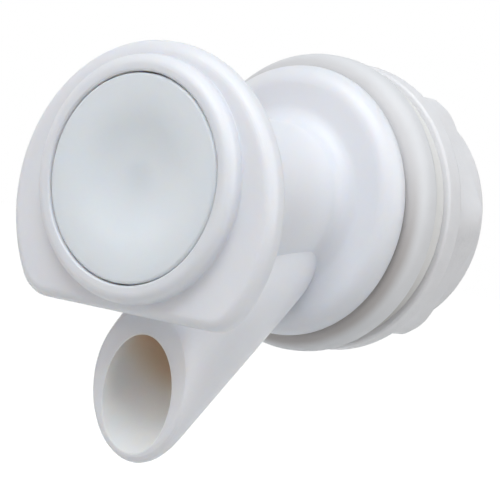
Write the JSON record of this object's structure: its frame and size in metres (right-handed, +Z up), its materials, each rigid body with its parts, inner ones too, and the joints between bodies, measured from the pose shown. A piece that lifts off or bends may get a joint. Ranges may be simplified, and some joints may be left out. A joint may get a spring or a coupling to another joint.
{
  "type": "push-button dispenser tap",
  "caption": "Push-button dispenser tap with a round finger plate, slanting spout, wall flange, gaskets and lobed lock nut on a threaded tail.",
  "frame": {"origin": "on the barrel's axis, in the plane where the flange seats against its gasket and the wall", "axes": "+Y along the barrel from the push button towards the threaded tail and the inside of the vessel, +Z up, the spout points down and forward, +X to the right seen from the front"},
  "size_m": [0.0502, 0.0809, 0.0665],
  "materials": {
    "body_abs": "gloss moulded",
    "button_abs": "satin gloss moulded",
    "stem_acetal": "smooth matte",
    "stainless_steel": "bright drawn",
    "seal_rubber": "matte moulded",
    "plug_silicone": "matte moulded",
    "gasket_rubber": "matte moulded",
    "nut_polypropylene": "fine-grained moulded"
  },
  "bodies": {
    "tap_body": {"body": "body_abs", "spring_washer": "stainless_steel", "stem_o_ring": "seal_rubber", "outer_gasket": "gasket_rubber", "return_spring": "stainless_steel"},
    "button": {"push_button": "button_abs", "valve_stem": "stem_acetal", "valve_plug": "plug_silicone", "plug_retaining_ring": "stainless_steel"},
    "gasket_ring": {"inner_gasket": "gasket_rubber"},
    "nut": {"lock_nut": "nut_polypropylene"}
  },
  "joints": [
    {"name": "button_press", "type": "slide", "parent": "tap_body", "child": "button", "axis": [0, 1, 0], "range_m": [0, 0.006], "stiffness_N_per_m": 1120, "springref_m": -0.005, "deforming": ["return_spring"]},
    {"name": "nut_advance", "type": "slide", "parent": "tap_body", "child": "gasket_ring", "axis": [0, 1, 0], "range_m": [0, 0.0075]},
    {"name": "nut_turn", "type": "hinge", "parent": "gasket_ring", "child": "nut", "pos_m": [0, 0, 0], "axis": [0, 1, 0], "range_deg": [0, 1080]}
  ],
  "couplings": [
    {"joint": "nut_advance", "follows": "nut_turn", "m_per_rad": 0.0003978}
  ]
}
